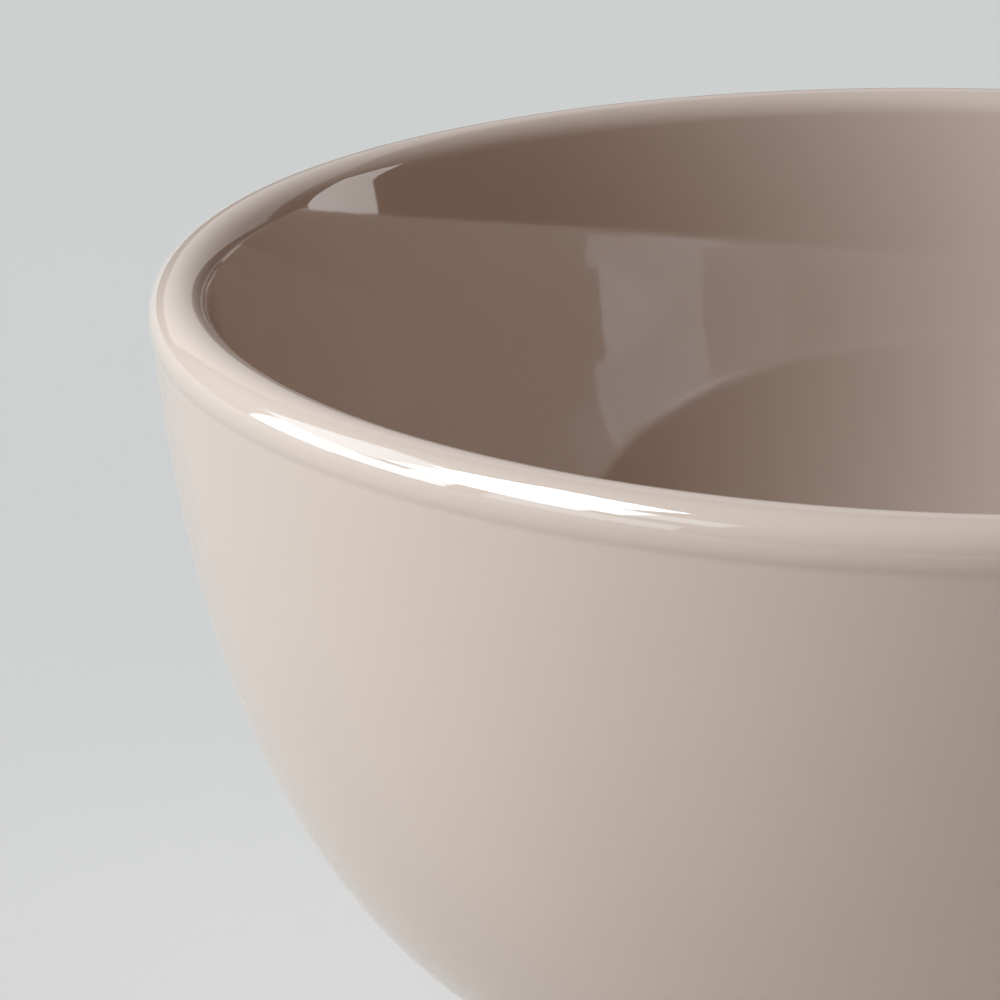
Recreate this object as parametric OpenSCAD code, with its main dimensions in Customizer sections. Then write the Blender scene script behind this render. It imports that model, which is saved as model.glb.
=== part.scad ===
// Latte bowl: a stoneware pot with a rounded lip and a turned foot ring, under a coat of glossy glaze.
// Every size is in millimetres and is taken over the glaze. The bowl stands on z = 0, round the z axis.

/* [Bowl] */
// Widest diameter, across the lip
bowl_d = 140; // [115:1:180]
// Height from the table to the top of the lip
bowl_h = 72; // [60:1:95]
// Thickness of the wall at the belly
wall_t = 6.3; // [5:0.1:8]
// Thickness of the floor at its middle
floor_t = 5.6; // [4.5:0.1:8]
// Lean of the outside just below the lip, in degrees from upright
wall_lean = 5.7; // [3:0.1:9]
// Lean of the inside just below the lip, in degrees from upright
inner_lean = 15.8; // [12:0.1:19]

/* [Lip] */
// Thickness of the rounded lip
lip_t = 5.3; // [4:0.1:7]
// How far the lip stands proud of the wall below it
lip_out = 0.25; // [0.1:0.05:0.5]
// Drop from the lip's widest line to the crease below it
lip_drop = 1.65; // [1.2:0.05:3]

/* [Foot] */
// Outer diameter of the foot ring
foot_d = 62; // [50:1:75]
// Height at which the belly turns into the foot
foot_h = 7; // [6:0.1:9]
// Lean of the belly where it turns into the foot, in degrees from upright
foot_lean = 78; // [70:1:84]
// Radius of the cove between the belly and the foot
foot_cove_r = 3; // [2:0.1:4]
// Width of the foot ring
ring_w = 5; // [4:0.1:7]
// Rounding of the foot ring's two lower edges
ring_edge_r = 0.8; // [0.4:0.1:1.2]
// Depth of the well inside the foot ring
well_h = 4; // [3.5:0.1:5]
// Radius of the cove round the well's ceiling
well_cove_r = 1.4; // [0.8:0.1:2]

/* [Glaze] */
// Thickness of the glaze coat
glaze_t = 0.35; // [0.2:0.05:0.6]
// Height of the bare clay band that is wiped clean above the table
wiped_h = 1.3; // [1:0.1:2]

/* [Hidden] */

// Facets of a full turn on screen, and steps along each stretch of the profile
$fn = 180;
lip_steps = 10;
crease_steps = 8;
wall_steps = 26;
taper_steps = 14;
heel_steps = 14;
floor_steps = 14;
cove_steps = 6;
edge_steps = 4;

// Colours of the fired clay and of the glaze
clay_colour = [0.86, 0.81, 0.74];
glaze_colour = [0.80, 0.74, 0.70];

// How long the wall curve's two handles are, as shares of the straight line between its ends
wall_top_share = 0.48;
wall_foot_share = 0.31;
// How long the crease curve's two handles are, as shares of its drop
crease_lip_share = 0.6;
crease_wall_share = 0.35;
// How long the taper curve's two handles are, as shares of the straight line between its ends
taper_lip_share = 0.38;
taper_wall_share = 0.37;
// Where along the wall curve the inside has come to the full wall, and where it turns into the floor
full_wall_share = 0.35;
heel_share = 0.8;
// How deep the floor curve keeps the wall's lean, as a share of its drop, and how wide its middle is flat
heel_drop_share = 0.85;
flat_floor_share = 0.45;

// Lip: one round from the widest line outside, over the top, to the lean of the inside
lip_r = lip_t / 2;
lip_c = [bowl_d / 2 - lip_r, bowl_h - lip_r];

// Foot ring and the well inside it
foot_r = foot_d / 2;
well_r = foot_r - ring_w;
floor_z = well_h + floor_t;

// Directions along the profile, down the outside and the inside below the lip, and into the foot
lip_heading = [-sin(wall_lean), -cos(wall_lean)];
inner_heading = [-sin(inner_lean), -cos(inner_lean)];
foot_heading = [-sin(foot_lean), -cos(foot_lean)];

// Ends of the wall curve: the crease under the lip, and the top of the foot's cove
crease = [bowl_d / 2 - lip_out, lip_c.y - lip_drop];
wall_end = [foot_r + foot_cove_r * (1 - cos(foot_lean)), foot_h];
foot_cove_c = wall_end + foot_cove_r * [cos(foot_lean), -sin(foot_lean)];
wall_span = norm(wall_end - crease);

// Control points of the curves of the outside
crease_curve = [
    lip_c + [lip_r, 0],
    lip_c + [lip_r, -crease_lip_share * lip_drop],
    crease - crease_wall_share * lip_drop * lip_heading,
    crease
];
wall_curve = [
    crease,
    crease + wall_top_share * wall_span * lip_heading,
    wall_end - wall_foot_share * wall_span * foot_heading,
    wall_end
];

// Ends of the taper curve: the inner end of the lip, and the full wall
inner_top = lip_c + lip_r * [-cos(inner_lean), sin(inner_lean)];
full_wall = beside(wall_curve, full_wall_share, wall_t);
taper_span = norm(full_wall - inner_top);

// Control points of the curves of the inside
taper_curve = [
    inner_top,
    inner_top + taper_lip_share * taper_span * inner_heading,
    full_wall - taper_wall_share * taper_span * heading(wall_curve, full_wall_share),
    full_wall
];
heel = beside(wall_curve, heel_share, wall_t);
heel_heading = heading(wall_curve, heel_share);
floor_curve = [
    heel,
    heel + heel_drop_share * (floor_z - heel.y) / heel_heading.y * heel_heading,
    [flat_floor_share * heel.x, floor_z],
    [0, floor_z]
];

// Point at share u of a cubic curve, from its four control points
function cubic(p, u) =
    pow(1 - u, 3) * p[0] + 3 * u * pow(1 - u, 2) * p[1] + 3 * u * u * (1 - u) * p[2] + pow(u, 3) * p[3];

// Unit vector along a cubic curve at share u
function heading(p, u) =
    let (step = pow(1 - u, 2) * (p[1] - p[0]) + 2 * u * (1 - u) * (p[2] - p[1]) + u * u * (p[3] - p[2]))
    step / norm(step);

// Point at share u of a cubic curve, moved square to the curve to its right by d
function beside(p, u, d) =
    let (along = heading(p, u))
    cubic(p, u) + d * [along.y, -along.x];

// A stretch of a cubic curve between two shares, moved to its right by d, without its first point
function stretch(p, steps, d, u_start = 0, u_end = 1) =
    [for (i = [1 : steps]) beside(p, u_start + (u_end - u_start) * i / steps, d)];

// Points on a circle about c, from angle a to angle b
function arc(c, r, a, b, steps) = [for (i = [0 : steps]) let (t = a + (b - a) * i / steps) c + r * [cos(t), sin(t)]];

function reversed(list) = [for (i = [len(list) - 1 : -1 : 0]) list[i]];

// Outside of the bowl at a depth under the glaze's face, from the top of the lip down to the foot's side
function outside(depth) = concat(
    arc(lip_c, lip_r - depth, 90, 0, lip_steps),
    stretch(crease_curve, crease_steps, depth),
    stretch(wall_curve, wall_steps, depth),
    arc(foot_cove_c, foot_cove_r + depth, 180 - foot_lean, 180, cove_steps)
);

// Inside of the bowl at a depth under the glaze's face, from the top of the lip down to the middle of the floor
function inside(depth) = concat(
    arc(lip_c, lip_r - depth, 90, 180 - inner_lean, lip_steps),
    stretch(taper_curve, taper_steps, -depth),
    stretch(wall_curve, heel_steps, wall_t - depth, full_wall_share, heel_share),
    stretch(floor_curve, floor_steps, -depth)
);

// Well inside the foot ring at a depth under the glaze's face, from the middle of its ceiling to its side
function well(depth) = concat(
    [[0, well_h + depth]],
    arc([well_r - well_cove_r, well_h - well_cove_r], well_cove_r + depth, 90, 0, cove_steps)
);

// Rounded lower edges of the bare foot ring, from the well's side round to the bowl's outside
function ring_edges() = concat(
    arc([well_r + glaze_t + ring_edge_r, ring_edge_r], ring_edge_r, 180, 270, edge_steps),
    arc([foot_r - glaze_t - ring_edge_r, ring_edge_r], ring_edge_r, 270, 360, edge_steps)
);

// Rounded edge of the outer coat where it stops on the foot's side
function outer_glaze_edge() = arc([foot_r - glaze_t, wiped_h + glaze_t], glaze_t, 0, -90, edge_steps);

// Rounded edge of the well's coat where it stops on the foot ring
function well_glaze_edge() = arc([well_r + glaze_t, wiped_h + glaze_t], glaze_t, 180, 270, edge_steps);

// Fired clay with its foot ring, all round under the glaze
module clay_body() {
    color(clay_colour)
        rotate_extrude()
            polygon(concat(inside(glaze_t), well(glaze_t), ring_edges(), reversed(outside(glaze_t))));
}

// Coat on the outside, from the top of the lip to the wiped band
module outer_glaze() {
    color(glaze_colour)
        rotate_extrude()
            polygon(concat(outside(0), outer_glaze_edge(), reversed(outside(glaze_t))));
}

// Coat on the inside, from the top of the lip over the whole floor
module inner_glaze() {
    color(glaze_colour)
        rotate_extrude()
            polygon(concat(inside(0), reversed(inside(glaze_t))));
}

// Coat in the well inside the foot ring, down to the wiped band
module foot_well_glaze() {
    color(glaze_colour)
        rotate_extrude()
            polygon(concat(well(0), well_glaze_edge(), reversed(well(glaze_t))));
}

clay_body();
outer_glaze();
inner_glaze();
foot_well_glaze();
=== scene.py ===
"""A glazed stoneware latte bowl, laid out as a Blender add-on and run as a script."""
from types import SimpleNamespace

import bpy
import numpy as np
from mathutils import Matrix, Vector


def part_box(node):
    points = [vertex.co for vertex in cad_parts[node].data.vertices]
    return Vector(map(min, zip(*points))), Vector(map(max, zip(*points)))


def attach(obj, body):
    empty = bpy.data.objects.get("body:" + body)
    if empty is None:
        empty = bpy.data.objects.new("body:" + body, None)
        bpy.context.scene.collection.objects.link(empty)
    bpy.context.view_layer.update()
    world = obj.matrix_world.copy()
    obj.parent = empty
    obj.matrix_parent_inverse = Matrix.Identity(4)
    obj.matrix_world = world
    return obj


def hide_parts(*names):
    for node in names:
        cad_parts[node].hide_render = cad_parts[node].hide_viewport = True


bl_info = {
    "name": "Latte bowl",
    "version": (1, 0, 0),
    "blender": (4, 5, 0),
    "location": "View3D > Sidebar > Latte bowl",
    "description": "Turns a stoneware bowl, coats it with glaze and sets a plain stage round it",
    "category": "Add Mesh",
}

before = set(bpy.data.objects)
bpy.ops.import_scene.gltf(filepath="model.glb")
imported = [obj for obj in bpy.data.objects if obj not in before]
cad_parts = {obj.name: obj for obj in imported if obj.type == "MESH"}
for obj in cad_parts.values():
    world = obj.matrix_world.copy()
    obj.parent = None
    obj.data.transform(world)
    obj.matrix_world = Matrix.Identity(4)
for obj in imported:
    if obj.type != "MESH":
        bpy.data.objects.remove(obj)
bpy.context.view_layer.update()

MM = 0.001

# Corners of the solid outer coat, which give the bowl's width, its height and the wiped band
BOWL_LOW, BOWL_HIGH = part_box("outer_glaze")

# Parts of a full turn, steps along each stretch of the profile, and the stride of what the glaze hides
COAT_TURNS = 360
CLAY_TURNS = 240
LIP_STEPS = 32
CREASE_STEPS = 20
WALL_STEPS = 72
TAPER_STEPS = 40
HEEL_STEPS = 36
FLOOR_STEPS = 36
COVE_STEPS = 14
FOOT_STEPS = 8
EDGE_STEPS = 8
WELL_STEPS = 24
RING_STEPS = 48
BACK_STRIDE = 4

# Below these, a row's distance from the axis and the product of two steps count as nothing
AXIS_REACH = 1e-9
LEAST_PRODUCT = 1e-16

# Handles of the profile's curves, as shares of what they follow
WALL_TOP_SHARE = 0.48
WALL_FOOT_SHARE = 0.31
CREASE_LIP_SHARE = 0.6
CREASE_WALL_SHARE = 0.35
TAPER_LIP_SHARE = 0.38
TAPER_WALL_SHARE = 0.37
HEEL_DROP_SHARE = 0.85
FLAT_FLOOR_SHARE = 0.45

# Where along the wall curve the inside has come to the full wall, and where it turns into the floor
FULL_WALL_SHARE = 0.35
HEEL_SHARE = 0.8

# Depth of glaze on a plain wall, where 0 is the thinnest and 1 the deepest, and the name it is kept under
PLAIN_DEPTH = 0.5
DEPTH_NAME = "glaze_depth"

# How far molten glaze evens out along the profile, and how strongly a curved place thins or deepens it
POOL_REACH = 1.3 * MM
POOL_GAIN = 0.9 * MM

# Waves of the glaze's swell: how many of each fit into its length along x, y and z, and where each starts
SWELL_WAVES = np.array([[0.9, 0.5, 0.7], [-0.8, 1.1, 0.4], [0.3, -0.6, -1.5]])
SWELL_STARTS = np.array([0.4, 2.1, 4.0])

# Waves of the wiped edge: the share of each in the whole, how many fit into a turn, and where each starts
EDGE_SHARES = np.array([0.5, 0.3, 0.2])
EDGE_COUNTS = np.array([3, 7, 16])
EDGE_STARTS = np.array([0.4, 1.9, 4.1])

# How far above the wiped edge the roll of glaze lies, its reach, and the turning marks under the foot ring
BEAD_RISE = 0.8 * MM
BEAD_REACH = 0.35 * MM
RING_MARKS = 6

# Patterns of the glaze: the cloud in its depth, the changes of its polish, and its skin
GLAZE_NAME = "glossy_glaze"
GLAZE_IOR = 1.75
CLOUD_SIZE = 21 * MM
CLOUD_DETAIL = 3.0
POLISH_SIZE = 7 * MM
POLISH_DETAIL = 4.0
POLISH_SPREAD = 0.3
SKIN_SIZE = 2.4 * MM
SKIN_DETAIL = 2.0
SKIN_DEPTH = 0.003 * MM

# Patterns of the bare clay: its tone, its specks and its grain. A stop is a place on the noise and a share
TONE_SIZE = 5 * MM
TONE_DETAIL = 5.0
TONE_STOPS = ((0.3, 0.9), (0.7, 1.06))
SPECK_SIZE = 0.5 * MM
SPECK_DETAIL = 1.0
SPECK_STOPS = ((0.66, 0.0), (0.7, 0.8))
GRAIN_SIZE = 0.35 * MM
GRAIN_DETAIL = 4.0
GRAIN_SPREAD = 0.1
GRAIN_DEPTH = 0.05 * MM

# Colour sockets of a Mix node, whose names its other kinds share
MIX_FIRST = 6
MIX_SECOND = 7
MIX_RESULT = 2

# The floor's size in metres, its rings, its faint cloud and its matt finish
FLOOR_RADIUS = 6.0
FLOOR_RINGS = 5
FLOOR_TURNS = 64
FLOOR_CLOUD_SIZE = 0.2
FLOOR_CLOUD_DETAIL = 2.0
FLOOR_STOPS = ((0.3, 0.99), (0.7, 1.01))
FLOOR_ROUGHNESS = 0.9
FLOOR_GLOSS = 0.1

# Colour of the plain lamps, and of the mask that sets the specks in the clay
PLAIN_WHITE = (1.0, 1.0, 1.0)

# How far away the lamps stand, in metres
LAMP_AWAY = 30.0

# Panes as seen from the bowl, in degrees: two bearings, where 0 is straight behind the bowl and -90 its left,
# and two rises above the floor. A pane of the window also has its share of the window's level.
WINDOW_PANES = (
    ((-124, -86, 44, 60), 1.8),
    ((-132, -91, 27, 44), 0.7),
    ((-145, -132, 30, 44), 0.16),
    ((-91, -64, 22, 46), 0.21),
    ((-127, -98, 20, 27), 1.0),
    ((-142, -114, 3, 20), 0.14),
    ((-108, -88, 3, 20), 0.42),
    ((-88, -69, 1, 22), 0.34),
)
SIDE_PANE = (54, 71, 1, 28)
BACK_PANE = (-40, 40, 10, 45)

# The camera's place in metres, its turn and its tilt down in degrees, and its lens and sensor in millimetres
CAMERA_PLACE = (0.0, -424.84 * MM, 187.20 * MM)
CAMERA_YAW = 5.4463
CAMERA_PITCH = 17.7726
CAMERA_LENS = 186.19
CAMERA_SENSOR = 36.0
CAMERA_NEAREST = 10 * MM


def length_property(name, description, default):
    """A length in metres, shown in the scene's own unit."""
    return bpy.props.FloatProperty(
        name=name,
        description=description,
        default=default,
        min=0.0,
        precision=5,
        unit="LENGTH",
        subtype="DISTANCE",
    )


def angle_property(name, description, degrees):
    """An angle, kept in radians and shown in degrees."""
    return bpy.props.FloatProperty(
        name=name,
        description=description,
        default=np.radians(degrees),
        subtype="ANGLE",
        unit="ROTATION",
    )


def colour_property(name, description, default):
    """A colour in linear light."""
    return bpy.props.FloatVectorProperty(
        name=name,
        description=description,
        default=default,
        size=3,
        min=0.0,
        max=1.0,
        subtype="COLOR",
    )


def share_property(name, description, default):
    """A share from none to all."""
    return bpy.props.FloatProperty(
        name=name,
        description=description,
        default=default,
        min=0.0,
        max=1.0,
        subtype="FACTOR",
    )


def level_property(name, description, default):
    """A level of light, where 1 is white."""
    return bpy.props.FloatProperty(
        name=name,
        description=description,
        default=default,
        min=0.0,
    )


class BowlSizes(bpy.types.PropertyGroup):
    """Sizes of the bowl over its glaze."""

    bowl_diameter: length_property("Diameter", "Widest diameter, across the lip", 2 * BOWL_HIGH.x)
    bowl_height: length_property("Height", "From the table to the top of the lip", BOWL_HIGH.z)
    wall_thickness: length_property("Wall", "Thickness of the wall at the belly", 6.3 * MM)
    lip_thickness: length_property("Lip thickness", "Thickness of the rounded lip", 5.3 * MM)
    floor_height: length_property("Floor", "Height of the floor's middle above the table", 9.6 * MM)
    wall_lean: angle_property("Wall lean", "Lean of the outside just below the lip", 5.7)
    inner_lean: angle_property("Inner lean", "Lean of the inside just below the lip", 15.8)
    lip_out: length_property("Lip", "How far the lip stands proud of the wall", 0.25 * MM)
    lip_drop: length_property("Lip drop", "From the lip's widest line to the crease", 1.65 * MM)
    foot_diameter: length_property("Foot", "Outer diameter of the foot ring", 62 * MM)
    foot_height: length_property("Foot height", "Where the belly turns into the foot", 7 * MM)
    foot_lean: angle_property("Foot lean", "Lean of the belly where it meets the foot", 78)
    foot_cove: length_property("Foot cove", "Radius between the belly and the foot", 3 * MM)
    ring_width: length_property("Ring width", "Width of the foot ring", 5 * MM)
    ring_edge: length_property("Ring edge", "Rounding of the ring's lower edges", 0.8 * MM)
    well_depth: length_property("Well", "Depth of the well inside the foot ring", 4 * MM)
    well_cove: length_property("Well cove", "Radius round the well's ceiling", 1.4 * MM)
    glaze_thickness: length_property("Glaze", "Thickness of the glaze coat", 0.35 * MM)
    wiped_height: length_property("Wiped band", "Bare clay above the table", BOWL_LOW.z)
    swell_height: length_property("Swell", "Height of the slow swell in the glaze", 0.006 * MM)
    swell_length: length_property("Swell length", "Length of the slow swell in the glaze", 19 * MM)
    edge_wave: length_property("Edge wave", "Rise and fall of the wiped edge round the foot", 0.14 * MM)
    edge_bead: length_property("Edge bead", "Roll of thicker glaze along the wiped edge", 0.07 * MM)
    ring_cut: length_property("Ring cut", "Depth of the turning marks under the foot ring", 0.035 * MM)


class GlazeLook(bpy.types.PropertyGroup):
    """Finish of the fired glaze."""

    colour: colour_property("Colour", "The glaze at its usual depth", (0.515, 0.398, 0.331))
    thin_lift: share_property("Thin lift", "How much paler the glaze is where it runs thin", 0.05)
    deep_shade: share_property("Deep shade", "How much darker the glaze is where it pools", 0.07)
    cloud: share_property("Cloud", "How far the glaze's depth wanders from place to place", 0.25)
    roughness: share_property("Roughness", "Polish of the glaze, 0 is a mirror", 0.045)


class ClayLook(bpy.types.PropertyGroup):
    """Finish of the bare fired clay."""

    colour: colour_property("Colour", "The clay body", (0.70, 0.60, 0.48))
    speck_colour: colour_property("Specks", "Fine iron specks in the clay", (0.33, 0.22, 0.13))
    roughness: share_property("Roughness", "Matt surface of the bare clay", 0.85)


class StageLook(bpy.types.PropertyGroup):
    """The floor, the lamps and the light all round."""

    floor_colour: colour_property("Floor", "Plain pale floor", (0.575, 0.53, 0.495))
    window_level: level_property("Window", "Level of the window on the left", 12.0)
    window_colour: colour_property("Window tint", "Colour of the window", (0.75, 0.90, 1.0))
    side_level: level_property("Side light", "Level of the small light on the right", 2.2)
    back_level: level_property("Back light", "Level of the wide light behind", 0.47)
    room_colour: colour_property("Room tint", "Colour of the soft light all round", (1.0, 0.68, 0.53))
    room_level: level_property("Room", "Level of the soft light all round", 0.16)
    room_left: level_property("Room left", "How much brighter the room is on the left", 0.06)
    room_front: level_property("Room front", "How much brighter the room is in front", 0.08)


def cubic(points, share):
    """Points at shares of a cubic curve: the sum of its four control points in Bernstein weights."""
    u = np.asarray(share)[:, None]
    v = 1 - u
    return v**3 * points[0] + 3 * u * v**2 * points[1] + 3 * u**2 * v * points[2] + u**3 * points[3]


def heading(points, share):
    """Unit vectors along a cubic curve at shares of it: its derivative over the derivative's own length."""
    u = np.asarray(share)[:, None]
    v = 1 - u
    first, middle, last = np.diff(points, axis=0)
    step = v**2 * first + 2 * u * v * middle + u**2 * last
    return step / np.linalg.norm(step, axis=1)[:, None]


def beside(points, share, distance):
    """Points of a cubic curve moved square to it, to its right, by a distance."""
    along = heading(points, share)
    return cubic(points, share) + distance * np.stack([along[:, 1], -along[:, 0]], axis=1)


def arc(centre, radius, start, end, steps):
    """Points on a circle, from one angle to another in equal steps: cosine and sine times the radius."""
    angle = np.linspace(start, end, steps + 1)
    return centre + radius * np.stack([np.cos(angle), np.sin(angle)], axis=1)


def shares(steps, start=0.0, end=1.0):
    """Equal shares of a curve from a start to an end, without the first."""
    return np.linspace(start, end, steps + 1)[1:]


def downward(lean):
    """Unit vector down a wall that leans in by an angle: minus its sine across, minus its cosine up."""
    return -np.array([np.sin(lean), np.cos(lean)])


def bell(distance, reach):
    """Bell curve of a distance: e to the power of minus half the square of the distance over its reach."""
    return np.exp(-0.5 * (distance / reach) ** 2)


def bowl_profile(sizes):
    """Curves of the profile in (radius, height), worked out from the bowl's sizes."""
    lip_radius = sizes.lip_thickness / 2
    lip_centre = np.array([sizes.bowl_diameter / 2 - lip_radius, sizes.bowl_height - lip_radius])
    foot_radius = sizes.foot_diameter / 2
    foot_lean = sizes.foot_lean
    inner_lean = sizes.inner_lean
    crease = np.array([sizes.bowl_diameter / 2 - sizes.lip_out, lip_centre[1] - sizes.lip_drop])
    wall_end = np.array([foot_radius + sizes.foot_cove * (1 - np.cos(foot_lean)), sizes.foot_height])
    cove_centre = wall_end + sizes.foot_cove * np.array([np.cos(foot_lean), -np.sin(foot_lean)])
    wall_span = np.linalg.norm(wall_end - crease)
    crease_curve = [
        lip_centre + [lip_radius, 0],
        lip_centre + [lip_radius, -CREASE_LIP_SHARE * sizes.lip_drop],
        crease - CREASE_WALL_SHARE * sizes.lip_drop * downward(sizes.wall_lean),
        crease,
    ]
    wall_curve = [
        crease,
        crease + WALL_TOP_SHARE * wall_span * downward(sizes.wall_lean),
        wall_end - WALL_FOOT_SHARE * wall_span * downward(foot_lean),
        wall_end,
    ]
    inner_top = lip_centre + lip_radius * np.array([-np.cos(inner_lean), np.sin(inner_lean)])
    full_wall = beside(wall_curve, [FULL_WALL_SHARE], sizes.wall_thickness)[0]
    taper_span = np.linalg.norm(full_wall - inner_top)
    taper_curve = [
        inner_top,
        inner_top + TAPER_LIP_SHARE * taper_span * downward(inner_lean),
        full_wall - TAPER_WALL_SHARE * taper_span * heading(wall_curve, [FULL_WALL_SHARE])[0],
        full_wall,
    ]
    heel = beside(wall_curve, [HEEL_SHARE], sizes.wall_thickness)[0]
    heel_heading = heading(wall_curve, [HEEL_SHARE])[0]
    heel_handle = HEEL_DROP_SHARE * (sizes.floor_height - heel[1]) / heel_heading[1]
    floor_curve = [
        heel,
        heel + heel_handle * heel_heading,
        np.array([FLAT_FLOOR_SHARE * heel[0], sizes.floor_height]),
        np.array([0.0, sizes.floor_height]),
    ]
    return SimpleNamespace(
        lip_centre=lip_centre,
        lip_radius=lip_radius,
        crease_curve=crease_curve,
        wall_curve=wall_curve,
        taper_curve=taper_curve,
        floor_curve=floor_curve,
        cove_centre=cove_centre,
        foot_radius=foot_radius,
        well_radius=foot_radius - sizes.ring_width,
    )


def outside(sizes, curves, depth):
    """Profile of the outside at a depth under the glaze's face, from the lip's top down to the foot."""
    return np.concatenate([
        arc(curves.lip_centre, curves.lip_radius - depth, np.pi / 2, 0, LIP_STEPS),
        beside(curves.crease_curve, shares(CREASE_STEPS), depth),
        beside(curves.wall_curve, shares(WALL_STEPS), depth),
        arc(curves.cove_centre, sizes.foot_cove + depth, np.pi - sizes.foot_lean, np.pi, COVE_STEPS)[1:],
    ])


def inside(sizes, curves, depth):
    """Profile of the inside at a depth under the glaze's face, from the lip's top to the floor's middle."""
    belly = shares(HEEL_STEPS, FULL_WALL_SHARE, HEEL_SHARE)
    return np.concatenate([
        arc(curves.lip_centre, curves.lip_radius - depth, np.pi / 2, np.pi - sizes.inner_lean, LIP_STEPS),
        beside(curves.taper_curve, shares(TAPER_STEPS), -depth),
        beside(curves.wall_curve, belly, sizes.wall_thickness - depth),
        beside(curves.floor_curve, shares(FLOOR_STEPS), -depth),
    ])


def well(sizes, curves, depth):
    """Profile of the well at a depth under the glaze's face, from its ceiling's middle to its side."""
    centre = np.array([curves.well_radius - sizes.well_cove, sizes.well_depth - sizes.well_cove])
    radius = np.linspace(0, centre[0], WELL_STEPS)[:-1]
    ceiling = np.stack([radius, np.full(len(radius), sizes.well_depth + depth)], axis=1)
    return np.concatenate([ceiling, arc(centre, sizes.well_cove + depth, np.pi / 2, 0, COVE_STEPS)])


def upright(radius, start, end, steps):
    """A straight run of profile at one radius, from one height towards another, without its ends."""
    height = np.linspace(start, end, steps + 1)[1:-1]
    return np.stack([np.full(len(height), radius), height], axis=1)


def ring_face(sizes, start, end):
    """Profile across the foot ring's underside, without its ends: fine turning marks, each a raised cosine
    cut up into the clay."""
    share = shares(RING_STEPS)[:-1]
    cut = sizes.ring_cut * (1 - np.cos(2 * np.pi * RING_MARKS * share)) / 2
    return np.stack([start + (end - start) * share, cut], axis=1)


def thinned(profile):
    """Every few points of a profile, always with its first and last."""
    keep = np.unique(np.append(np.arange(0, len(profile), BACK_STRIDE), len(profile) - 1))
    return profile[keep]


def full_turn(turns):
    """Angles of a full turn in equal parts, without its end."""
    return np.linspace(0, 2 * np.pi, turns, endpoint=False)


def turned(profile, turns):
    """Carries a profile round the upright axis: x is the radius times the cosine of the turn's angle, y is
    the radius times its sine, and z is the height."""
    angle = full_turn(turns)
    radius = profile[:, 0:1]
    height = np.broadcast_to(profile[:, 1:2], (len(profile), turns))
    return np.stack([radius * np.cos(angle), radius * np.sin(angle), height], axis=2)


def outward(grid):
    """Unit normals of a turned grid: the step along the profile crossed with the step round the axis. On the
    axis, where that product is nothing, the normal is upright and faces up or down as the grid does."""
    along = np.gradient(grid, axis=0, edge_order=2)
    around = np.roll(grid, -1, axis=1) - np.roll(grid, 1, axis=1)
    normal = np.cross(along, around)
    size = np.linalg.norm(normal, axis=2, keepdims=True)
    upright_normal = np.broadcast_to([0.0, 0.0, np.sign(normal[:, :, 2].sum())], normal.shape)
    return np.where(size > LEAST_PRODUCT, normal / np.maximum(size, LEAST_PRODUCT), upright_normal)


def swell(grid, height, length):
    """Slow swell of a fired glaze: the mean of three sine waves of the place that cross at odd angles."""
    phase = 2 * np.pi / length * grid @ SWELL_WAVES.T + SWELL_STARTS
    return height * np.sin(phase).mean(axis=2, keepdims=True)


def glaze_depth(profile):
    """Depth of fired glaze along a profile: that of a plain wall, plus the turn of the profile per length,
    averaged under a bell curve, so that glaze runs thin over outer edges and pools in hollows."""
    step = np.diff(profile, axis=0)
    length = np.linalg.norm(step, axis=1)
    along = np.concatenate([[0.0], np.cumsum(length)])
    turn = np.diff(np.unwrap(np.arctan2(step[:, 1], step[:, 0])))
    span = (length[1:] + length[:-1]) / 2
    weight = bell(along[:, None] - along[None, 1:-1], POOL_REACH)
    return np.clip(PLAIN_DEPTH + POOL_GAIN * (weight @ turn) / (weight @ span), 0.0, 1.0)


def wiped_edge(grid, sizes, top):
    """The glaze's end on the foot: a slow wave of three sines round the foot lifts and drops the edge, fading
    out towards the top height, and below that height a bell-shaped roll thickens the coat."""
    phase = np.outer(EDGE_COUNTS, full_turn(grid.shape[1])) + EDGE_STARTS[:, None]
    wave = EDGE_SHARES @ np.sin(phase)
    height = grid[:, :, 2]
    fade = np.clip((top - height) / (top - sizes.wiped_height), 0.0, 1.0)
    roll = bell(height - sizes.wiped_height - BEAD_RISE, BEAD_REACH) * (fade > 0)
    push = sizes.edge_bead * roll[:, :, None] * outward(grid)[:, :, :2]
    lift = sizes.edge_wave * (wave * fade)[:, :, None]
    return grid + np.concatenate([push, lift], axis=2)


def lattice_faces(rows, turns, closed):
    """Quads between neighbouring rows of a turned grid, and from the last row to the first if closed."""
    row = np.arange(rows if closed else rows - 1)[:, None]
    column = np.arange(turns)[None, :]
    here = row * turns
    there = (row + 1) % rows * turns
    after = (column + 1) % turns
    return np.stack([here + column, there + column, there + after, here + after], axis=2).reshape(-1, 4)


def fan_faces(rows, turns):
    """Triangles from two poles, numbered after all the rows, to the first row and to the last."""
    column = np.arange(turns)
    after = (column + 1) % turns
    last = (rows - 1) * turns
    start_pole = np.full(turns, rows * turns)
    end_pole = start_pole + 1
    start_fan = np.stack([start_pole, column, after], axis=1)
    end_fan = np.stack([end_pole, last + after, last + column], axis=1)
    return np.concatenate([start_fan, end_fan])


def per_vertex(values, on_axis):
    """Values of a grid in the order of its mesh's vertices: row by row, then one for each row on the axis."""
    around = values[~on_axis].reshape(-1, values.shape[2])
    return np.concatenate([around, values[on_axis][:, 0]])


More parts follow.
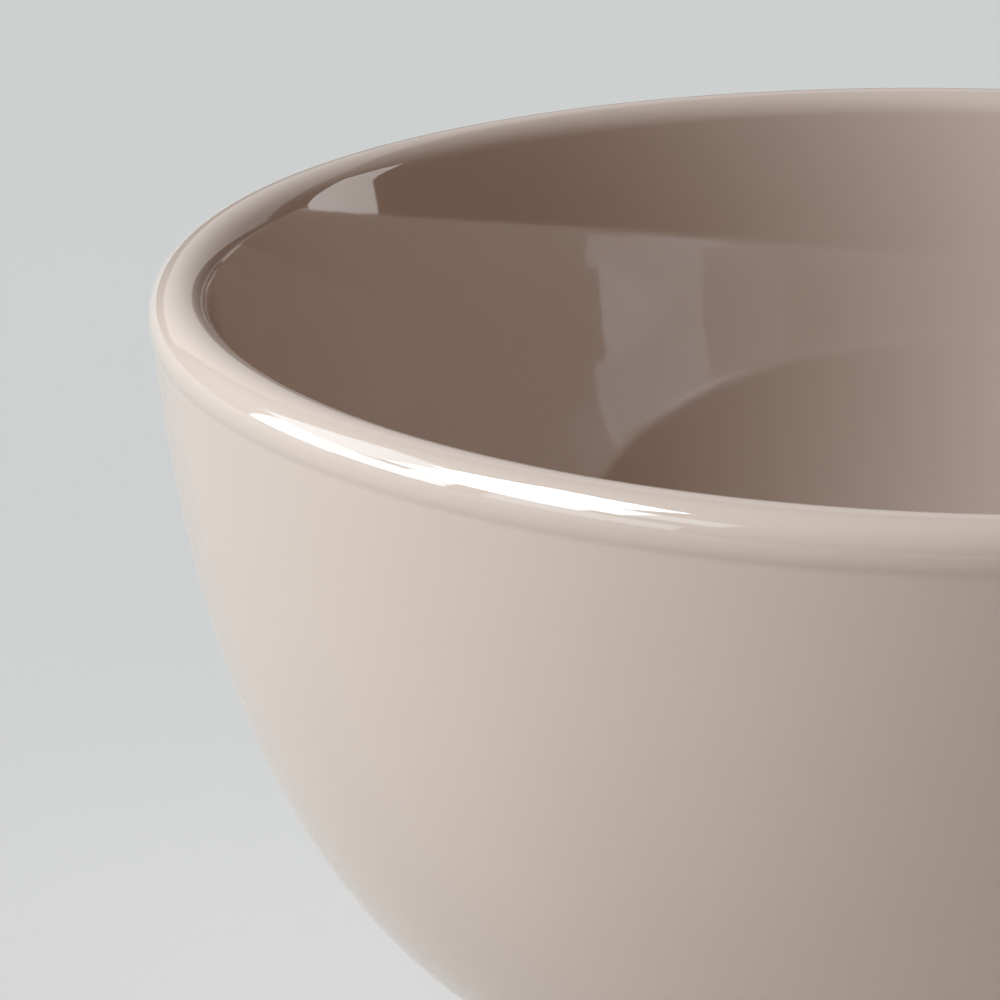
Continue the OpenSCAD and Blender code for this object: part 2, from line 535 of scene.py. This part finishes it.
def turned_mesh(name, grid, normals=None, depth=None):
    """Mesh of a turned grid whose rows run with the air on their left. It starts and ends on the axis, at two
    poles, or else closes on itself."""
    turns = grid.shape[1]
    on_axis = np.abs(grid[:, :, :2]).max(axis=(1, 2)) < AXIS_REACH
    rows = np.count_nonzero(~on_axis)
    faces = lattice_faces(rows, turns, not on_axis.any()).tolist()
    if on_axis.any():
        faces += fan_faces(rows, turns).tolist()
    mesh = bpy.data.meshes.new(name)
    mesh.from_pydata(per_vertex(grid, on_axis), [], faces)
    mesh.polygons.foreach_set("use_smooth", np.ones(len(mesh.polygons), dtype=bool))
    if normals is not None:
        mesh.normals_split_custom_set_from_vertices(per_vertex(normals, on_axis))
    if depth is not None:
        depth_grid = np.broadcast_to(depth[:, None, None], (*grid.shape[:2], 1))
        attribute = mesh.attributes.new(DEPTH_NAME, "FLOAT", "POINT")
        attribute.data.foreach_set("value", per_vertex(depth_grid, on_axis).ravel())
    mesh.update()
    return mesh


def coat_mesh(name, sizes, face, back, edge_top=None):
    """A closed coat of glaze: its swelling face, with a wiped edge if it has one, and its back on the clay.
    The back comes first where the face ends on the axis, so that the rows start and end there."""
    face_grid = turned(face, COAT_TURNS)
    swelling = swell(face_grid, sizes.swell_height, sizes.swell_length)
    face_grid = face_grid + outward(face_grid) * swelling
    if edge_top is not None:
        face_grid = wiped_edge(face_grid, sizes, edge_top)
    back_grid = turned(back, COAT_TURNS)
    sides = [
        (face_grid, outward(face_grid), glaze_depth(face)),
        (back_grid, outward(back_grid), np.full(len(back), PLAIN_DEPTH)),
    ]
    if face[-1, 0] < AXIS_REACH:
        sides.reverse()
    grid, normals, depth = map(np.concatenate, zip(*sides))
    return turned_mesh(name, grid, normals, depth)


def place(mesh, material, solid):
    """Links a finished piece, which stands for a solid of the frame and stays with it."""
    mesh.materials.append(material)
    piece = bpy.data.objects.new(mesh.name, mesh)
    bpy.context.scene.collection.objects.link(piece)
    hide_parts(solid)
    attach(piece, "root")


def add_node(tree, kind, **settings):
    """Adds a shader node and sets its own values."""
    made = tree.nodes.new(kind)
    for key, value in settings.items():
        setattr(made, key, value)
    return made


def principled(name):
    """A new material: its tree, its shader and its Object coordinates."""
    material = bpy.data.materials.new(name)
    material.use_nodes = True
    tree = material.node_tree
    shader = tree.nodes["Principled BSDF"]
    where = add_node(tree, "ShaderNodeTexCoord").outputs["Object"]
    return material, tree, shader, where


def noise(tree, where, size, detail):
    """Noise whose blotches are about one size across, in metres."""
    texture = add_node(tree, "ShaderNodeTexNoise")
    texture.inputs["Scale"].default_value = 1 / size
    texture.inputs["Detail"].default_value = detail
    tree.links.new(where, texture.inputs["Vector"])
    return texture.outputs["Fac"]


def ramp(tree, factor, stops):
    """Colour ramp over a factor, whose stops are a place and a colour each."""
    made = add_node(tree, "ShaderNodeValToRGB")
    elements = made.color_ramp.elements
    for _ in stops[len(elements):]:
        elements.new(1.0)
    for element, (position, colour) in zip(elements, stops):
        element.position = position
        element.color = (*colour, 1.0)
    tree.links.new(factor, made.inputs["Fac"])
    return made.outputs["Color"]


def shaded(tree, factor, colour, stops):
    """Shares of a colour over a factor."""
    return ramp(tree, factor, [(position, share * np.array(colour)) for position, share in stops])


def blended(tree, factor, first, second):
    """A second, plain colour over a first one by a factor."""
    made = add_node(tree, "ShaderNodeMix", data_type="RGBA")
    tree.links.new(factor, made.inputs["Factor"])
    tree.links.new(first, made.inputs[MIX_FIRST])
    made.inputs[MIX_SECOND].default_value = (*second, 1.0)
    return made.outputs[MIX_RESULT]


def spread(tree, factor, low, high):
    """A factor stretched to run from low to high."""
    made = add_node(tree, "ShaderNodeMapRange")
    made.inputs["To Min"].default_value = low
    made.inputs["To Max"].default_value = high
    tree.links.new(factor, made.inputs["Value"])
    return made.outputs["Result"]


def uneven_polish(tree, shader, factor, roughness, share):
    """Roughness that a factor moves by a share of itself to either side."""
    wandering = spread(tree, factor, roughness * (1 - share), roughness * (1 + share))
    tree.links.new(wandering, shader.inputs["Roughness"])


def bump(tree, shader, height, distance):
    """Fine relief of the surface, of a depth in metres."""
    made = add_node(tree, "ShaderNodeBump")
    made.inputs["Strength"].default_value = 1.0
    made.inputs["Distance"].default_value = distance
    tree.links.new(height, made.inputs["Height"])
    tree.links.new(made.outputs["Normal"], shader.inputs["Normal"])


def glaze_material(look):
    """Glossy glaze, made once and shared by the coats: paler where it runs thin, darker where it pools, with
    a faint cloud in its depth, slight changes of polish and the finest skin."""
    made_before = bpy.data.materials.get(GLAZE_NAME)
    if made_before:
        return made_before
    material, tree, shader, where = principled(GLAZE_NAME)
    depth = add_node(tree, "ShaderNodeAttribute", attribute_name=DEPTH_NAME).outputs["Fac"]
    cloud = spread(tree, noise(tree, where, CLOUD_SIZE, CLOUD_DETAIL), -look.cloud, look.cloud)
    total = add_node(tree, "ShaderNodeMath", operation="ADD", use_clamp=True)
    tree.links.new(depth, total.inputs[0])
    tree.links.new(cloud, total.inputs[1])
    stops = ((0.0, 1 + look.thin_lift), (PLAIN_DEPTH, 1.0), (1.0, 1 - look.deep_shade))
    tone = shaded(tree, total.outputs["Value"], look.colour, stops)
    tree.links.new(tone, shader.inputs["Base Color"])
    polish = noise(tree, where, POLISH_SIZE, POLISH_DETAIL)
    uneven_polish(tree, shader, polish, look.roughness, POLISH_SPREAD)
    shader.inputs["IOR"].default_value = GLAZE_IOR
    bump(tree, shader, noise(tree, where, SKIN_SIZE, SKIN_DETAIL), SKIN_DEPTH)
    return material


def clay_material(look):
    """Bare stoneware: matt and sandy, with fine iron specks and a wandering tone."""
    material, tree, shader, where = principled("bare_clay")
    tone = shaded(tree, noise(tree, where, TONE_SIZE, TONE_DETAIL), look.colour, TONE_STOPS)
    specks = shaded(tree, noise(tree, where, SPECK_SIZE, SPECK_DETAIL), PLAIN_WHITE, SPECK_STOPS)
    tree.links.new(blended(tree, specks, tone, look.speck_colour), shader.inputs["Base Color"])
    grain = noise(tree, where, GRAIN_SIZE, GRAIN_DETAIL)
    uneven_polish(tree, shader, grain, look.roughness, GRAIN_SPREAD)
    bump(tree, shader, grain, GRAIN_DEPTH)
    return material


class LATTE_BOWL_OT_clay_body(bpy.types.Operator):
    """Turns the clay pot with its foot ring"""

    bl_idname = "latte_bowl.clay_body"
    bl_label = "Clay body"

    def execute(self, context):
        sizes = context.scene.bowl_sizes
        curves = bowl_profile(sizes)
        depth = sizes.glaze_thickness
        edge = sizes.ring_edge
        well_edge = np.array([curves.well_radius + depth + edge, edge])
        foot_edge = np.array([curves.foot_radius - depth - edge, edge])
        profile = np.concatenate([
            thinned(inside(sizes, curves, depth))[::-1],
            thinned(outside(sizes, curves, depth))[1:],
            arc(foot_edge, edge, 0, -np.pi / 2, EDGE_STEPS),
            ring_face(sizes, foot_edge[0], well_edge[0]),
            arc(well_edge, edge, -np.pi / 2, -np.pi, EDGE_STEPS),
            thinned(well(sizes, curves, depth))[::-1],
        ])
        mesh = turned_mesh("bare_clay_pot", turned(profile, CLAY_TURNS))
        place(mesh, clay_material(context.scene.clay_look), "clay_body")
        return {"FINISHED"}


class LATTE_BOWL_OT_outer_coat(bpy.types.Operator):
    """Coats the outside with glaze, from the lip to the wiped band"""

    bl_idname = "latte_bowl.outer_coat"
    bl_label = "Outer glaze coat"

    def execute(self, context):
        sizes = context.scene.bowl_sizes
        curves = bowl_profile(sizes)
        coat = sizes.glaze_thickness
        edge_centre = np.array([curves.foot_radius - coat, sizes.wiped_height + coat])
        wall = outside(sizes, curves, 0.0)
        face = np.concatenate([
            wall,
            upright(curves.foot_radius, wall[-1, 1], edge_centre[1], FOOT_STEPS),
            arc(edge_centre, coat, 0, -np.pi / 2, EDGE_STEPS),
        ])
        back = thinned(outside(sizes, curves, coat))[::-1]
        mesh = coat_mesh("outer_glaze_coat", sizes, face, back, curves.cove_centre[1])
        place(mesh, glaze_material(context.scene.glaze_look), "outer_glaze")
        return {"FINISHED"}


class LATTE_BOWL_OT_inner_coat(bpy.types.Operator):
    """Coats the inside with glaze, from the lip over the whole floor"""

    bl_idname = "latte_bowl.inner_coat"
    bl_label = "Inner glaze coat"

    def execute(self, context):
        sizes = context.scene.bowl_sizes
        curves = bowl_profile(sizes)
        face = inside(sizes, curves, 0.0)[::-1]
        back = thinned(inside(sizes, curves, sizes.glaze_thickness))
        mesh = coat_mesh("inner_glaze_coat", sizes, face, back)
        place(mesh, glaze_material(context.scene.glaze_look), "inner_glaze")
        return {"FINISHED"}


class LATTE_BOWL_OT_well_coat(bpy.types.Operator):
    """Coats the well inside the foot ring with glaze"""

    bl_idname = "latte_bowl.well_coat"
    bl_label = "Foot well glaze coat"

    def execute(self, context):
        sizes = context.scene.bowl_sizes
        curves = bowl_profile(sizes)
        coat = sizes.glaze_thickness
        edge_centre = np.array([curves.well_radius + coat, sizes.wiped_height + coat])
        ceiling = well(sizes, curves, 0.0)
        face = np.concatenate([
            ceiling,
            upright(curves.well_radius, ceiling[-1, 1], edge_centre[1], FOOT_STEPS),
            arc(edge_centre, coat, np.pi, 3 * np.pi / 2, EDGE_STEPS),
        ])[::-1]
        back = thinned(well(sizes, curves, coat))
        mesh = coat_mesh("foot_well_glaze_coat", sizes, face, back, sizes.well_depth - sizes.well_cove)
        place(mesh, glaze_material(context.scene.glaze_look), "foot_well_glaze")
        return {"FINISHED"}


def floor_material(look):
    """Plain pale floor with the faintest cloud in it."""
    material, tree, shader, where = principled("pale_floor")
    cloud = noise(tree, where, FLOOR_CLOUD_SIZE, FLOOR_CLOUD_DETAIL)
    tree.links.new(shaded(tree, cloud, look.floor_colour, FLOOR_STOPS), shader.inputs["Base Color"])
    shader.inputs["Roughness"].default_value = FLOOR_ROUGHNESS
    shader.inputs["Specular IOR Level"].default_value = FLOOR_GLOSS
    return material


def lay_floor(scene, look):
    """A flat round floor: rings about the bowl, whose radius grows with the square of their number."""
    radius = FLOOR_RADIUS * np.linspace(1, 0, FLOOR_RINGS) ** 2
    grid = turned(np.stack([radius, np.zeros(FLOOR_RINGS)], axis=1), FLOOR_TURNS)
    mesh = bpy.data.meshes.new("floor")
    mesh.from_pydata(grid.reshape(-1, 3), [], lattice_faces(FLOOR_RINGS, FLOOR_TURNS, False).tolist())
    mesh.materials.append(floor_material(look))
    floor = bpy.data.objects.new("floor", mesh)
    scene.collection.objects.link(floor)


def upright_lamp(scene, name, pane, level, colour):
    """A flat lamp that fills a pane: its edges lie at the tangents of the pane's angles times the distance,
    and its power is pi times its area times its level."""
    left, right, low, high = np.radians(pane)
    bearing = (left + right) / 2
    bottom, top = LAMP_AWAY * np.tan([low, high])
    width = 2 * LAMP_AWAY * np.tan((right - left) / 2)
    height = top - bottom
    lamp = bpy.data.lights.new(name, "AREA")
    lamp.shape = "RECTANGLE"
    lamp.size = width
    lamp.size_y = height
    lamp.energy = np.pi * width * height * level
    lamp.color = colour
    made = bpy.data.objects.new(name, lamp)
    made.location = (LAMP_AWAY * np.sin(bearing), LAMP_AWAY * np.cos(bearing), (bottom + top) / 2)
    made.rotation_euler = (np.pi / 2, 0, np.pi - bearing)
    made.visible_camera = False
    scene.collection.objects.link(made)


def hang_lamps(scene, look):
    """The window on the left, and the lights on the right and behind."""
    for pane, share in WINDOW_PANES:
        upright_lamp(scene, "window", pane, share * look.window_level, look.window_colour)
    upright_lamp(scene, "side", SIDE_PANE, look.side_level, PLAIN_WHITE)
    upright_lamp(scene, "back", BACK_PANE, look.back_level, PLAIN_WHITE)


def room_world(look):
    """Soft light all round, whose level rises evenly to the left and to the front."""
    world = bpy.data.worlds.new("room")
    world.use_nodes = True
    tree = world.node_tree
    background = tree.nodes["Background"]
    direction = add_node(tree, "ShaderNodeTexCoord").outputs["Generated"]
    slope = add_node(tree, "ShaderNodeVectorMath", operation="DOT_PRODUCT")
    slope.inputs[1].default_value = (-look.room_left, -look.room_front, 0.0)
    tree.links.new(direction, slope.inputs[0])
    level = add_node(tree, "ShaderNodeMath", operation="ADD", use_clamp=True)
    level.inputs[1].default_value = look.room_level
    tree.links.new(slope.outputs["Value"], level.inputs[0])
    tree.links.new(level.outputs["Value"], background.inputs["Strength"])
    background.inputs["Color"].default_value = (*look.room_colour, 1.0)
    return world


def set_camera(scene):
    """A camera at the photo's angle, with no shift and no depth of field."""
    camera = bpy.data.cameras.new("camera")
    camera.lens = CAMERA_LENS
    camera.sensor_width = CAMERA_SENSOR
    camera.clip_start = CAMERA_NEAREST
    eye = bpy.data.objects.new("camera", camera)
    eye.location = CAMERA_PLACE
    eye.rotation_euler = (np.radians(90 - CAMERA_PITCH), 0, np.radians(CAMERA_YAW))
    scene.collection.objects.link(eye)
    scene.camera = eye


class LATTE_BOWL_OT_stage(bpy.types.Operator):
    """Sets the floor, the lights and the camera"""

    bl_idname = "latte_bowl.stage"
    bl_label = "Stage"

    def execute(self, context):
        scene = context.scene
        look = scene.stage_look
        lay_floor(scene, look)
        hang_lamps(scene, look)
        scene.world = room_world(look)
        scene.view_settings.view_transform = "Standard"
        set_camera(scene)
        return {"FINISHED"}


class VIEW3D_PT_latte_bowl(bpy.types.Panel):
    """Lists the bowl's sizes, finishes and pieces"""

    bl_label = "Latte bowl"
    bl_space_type = "VIEW_3D"
    bl_region_type = "UI"
    bl_category = "Latte bowl"

    def draw(self, context):
        for name, group in GROUPS.items():
            box = self.layout.box()
            for entry in group.__annotations__:
                box.prop(getattr(context.scene, name), entry)
        for operator in OPERATORS:
            self.layout.operator(operator.bl_idname)


GROUPS = {
    "bowl_sizes": BowlSizes,
    "glaze_look": GlazeLook,
    "clay_look": ClayLook,
    "stage_look": StageLook,
}
OPERATORS = (
    LATTE_BOWL_OT_clay_body,
    LATTE_BOWL_OT_outer_coat,
    LATTE_BOWL_OT_inner_coat,
    LATTE_BOWL_OT_well_coat,
    LATTE_BOWL_OT_stage,
)
CLASSES = (*GROUPS.values(), *OPERATORS, VIEW3D_PT_latte_bowl)


def register():
    """Makes the classes known and hangs each group of settings on the scene."""
    for cls in CLASSES:
        bpy.utils.register_class(cls)
    for name, group in GROUPS.items():
        setattr(bpy.types.Scene, name, bpy.props.PointerProperty(type=group))


def unregister():
    """Takes the settings off the scene and forgets the classes, last first."""
    for name in GROUPS:
        delattr(bpy.types.Scene, name)
    for cls in reversed(CLASSES):
        bpy.utils.unregister_class(cls)


def main():
    """Makes the pieces and the stage."""
    register()
    bpy.ops.latte_bowl.clay_body()
    bpy.ops.latte_bowl.outer_coat()
    bpy.ops.latte_bowl.inner_coat()
    bpy.ops.latte_bowl.well_coat()
    bpy.ops.latte_bowl.stage()


if __name__ == "__main__":
    main()
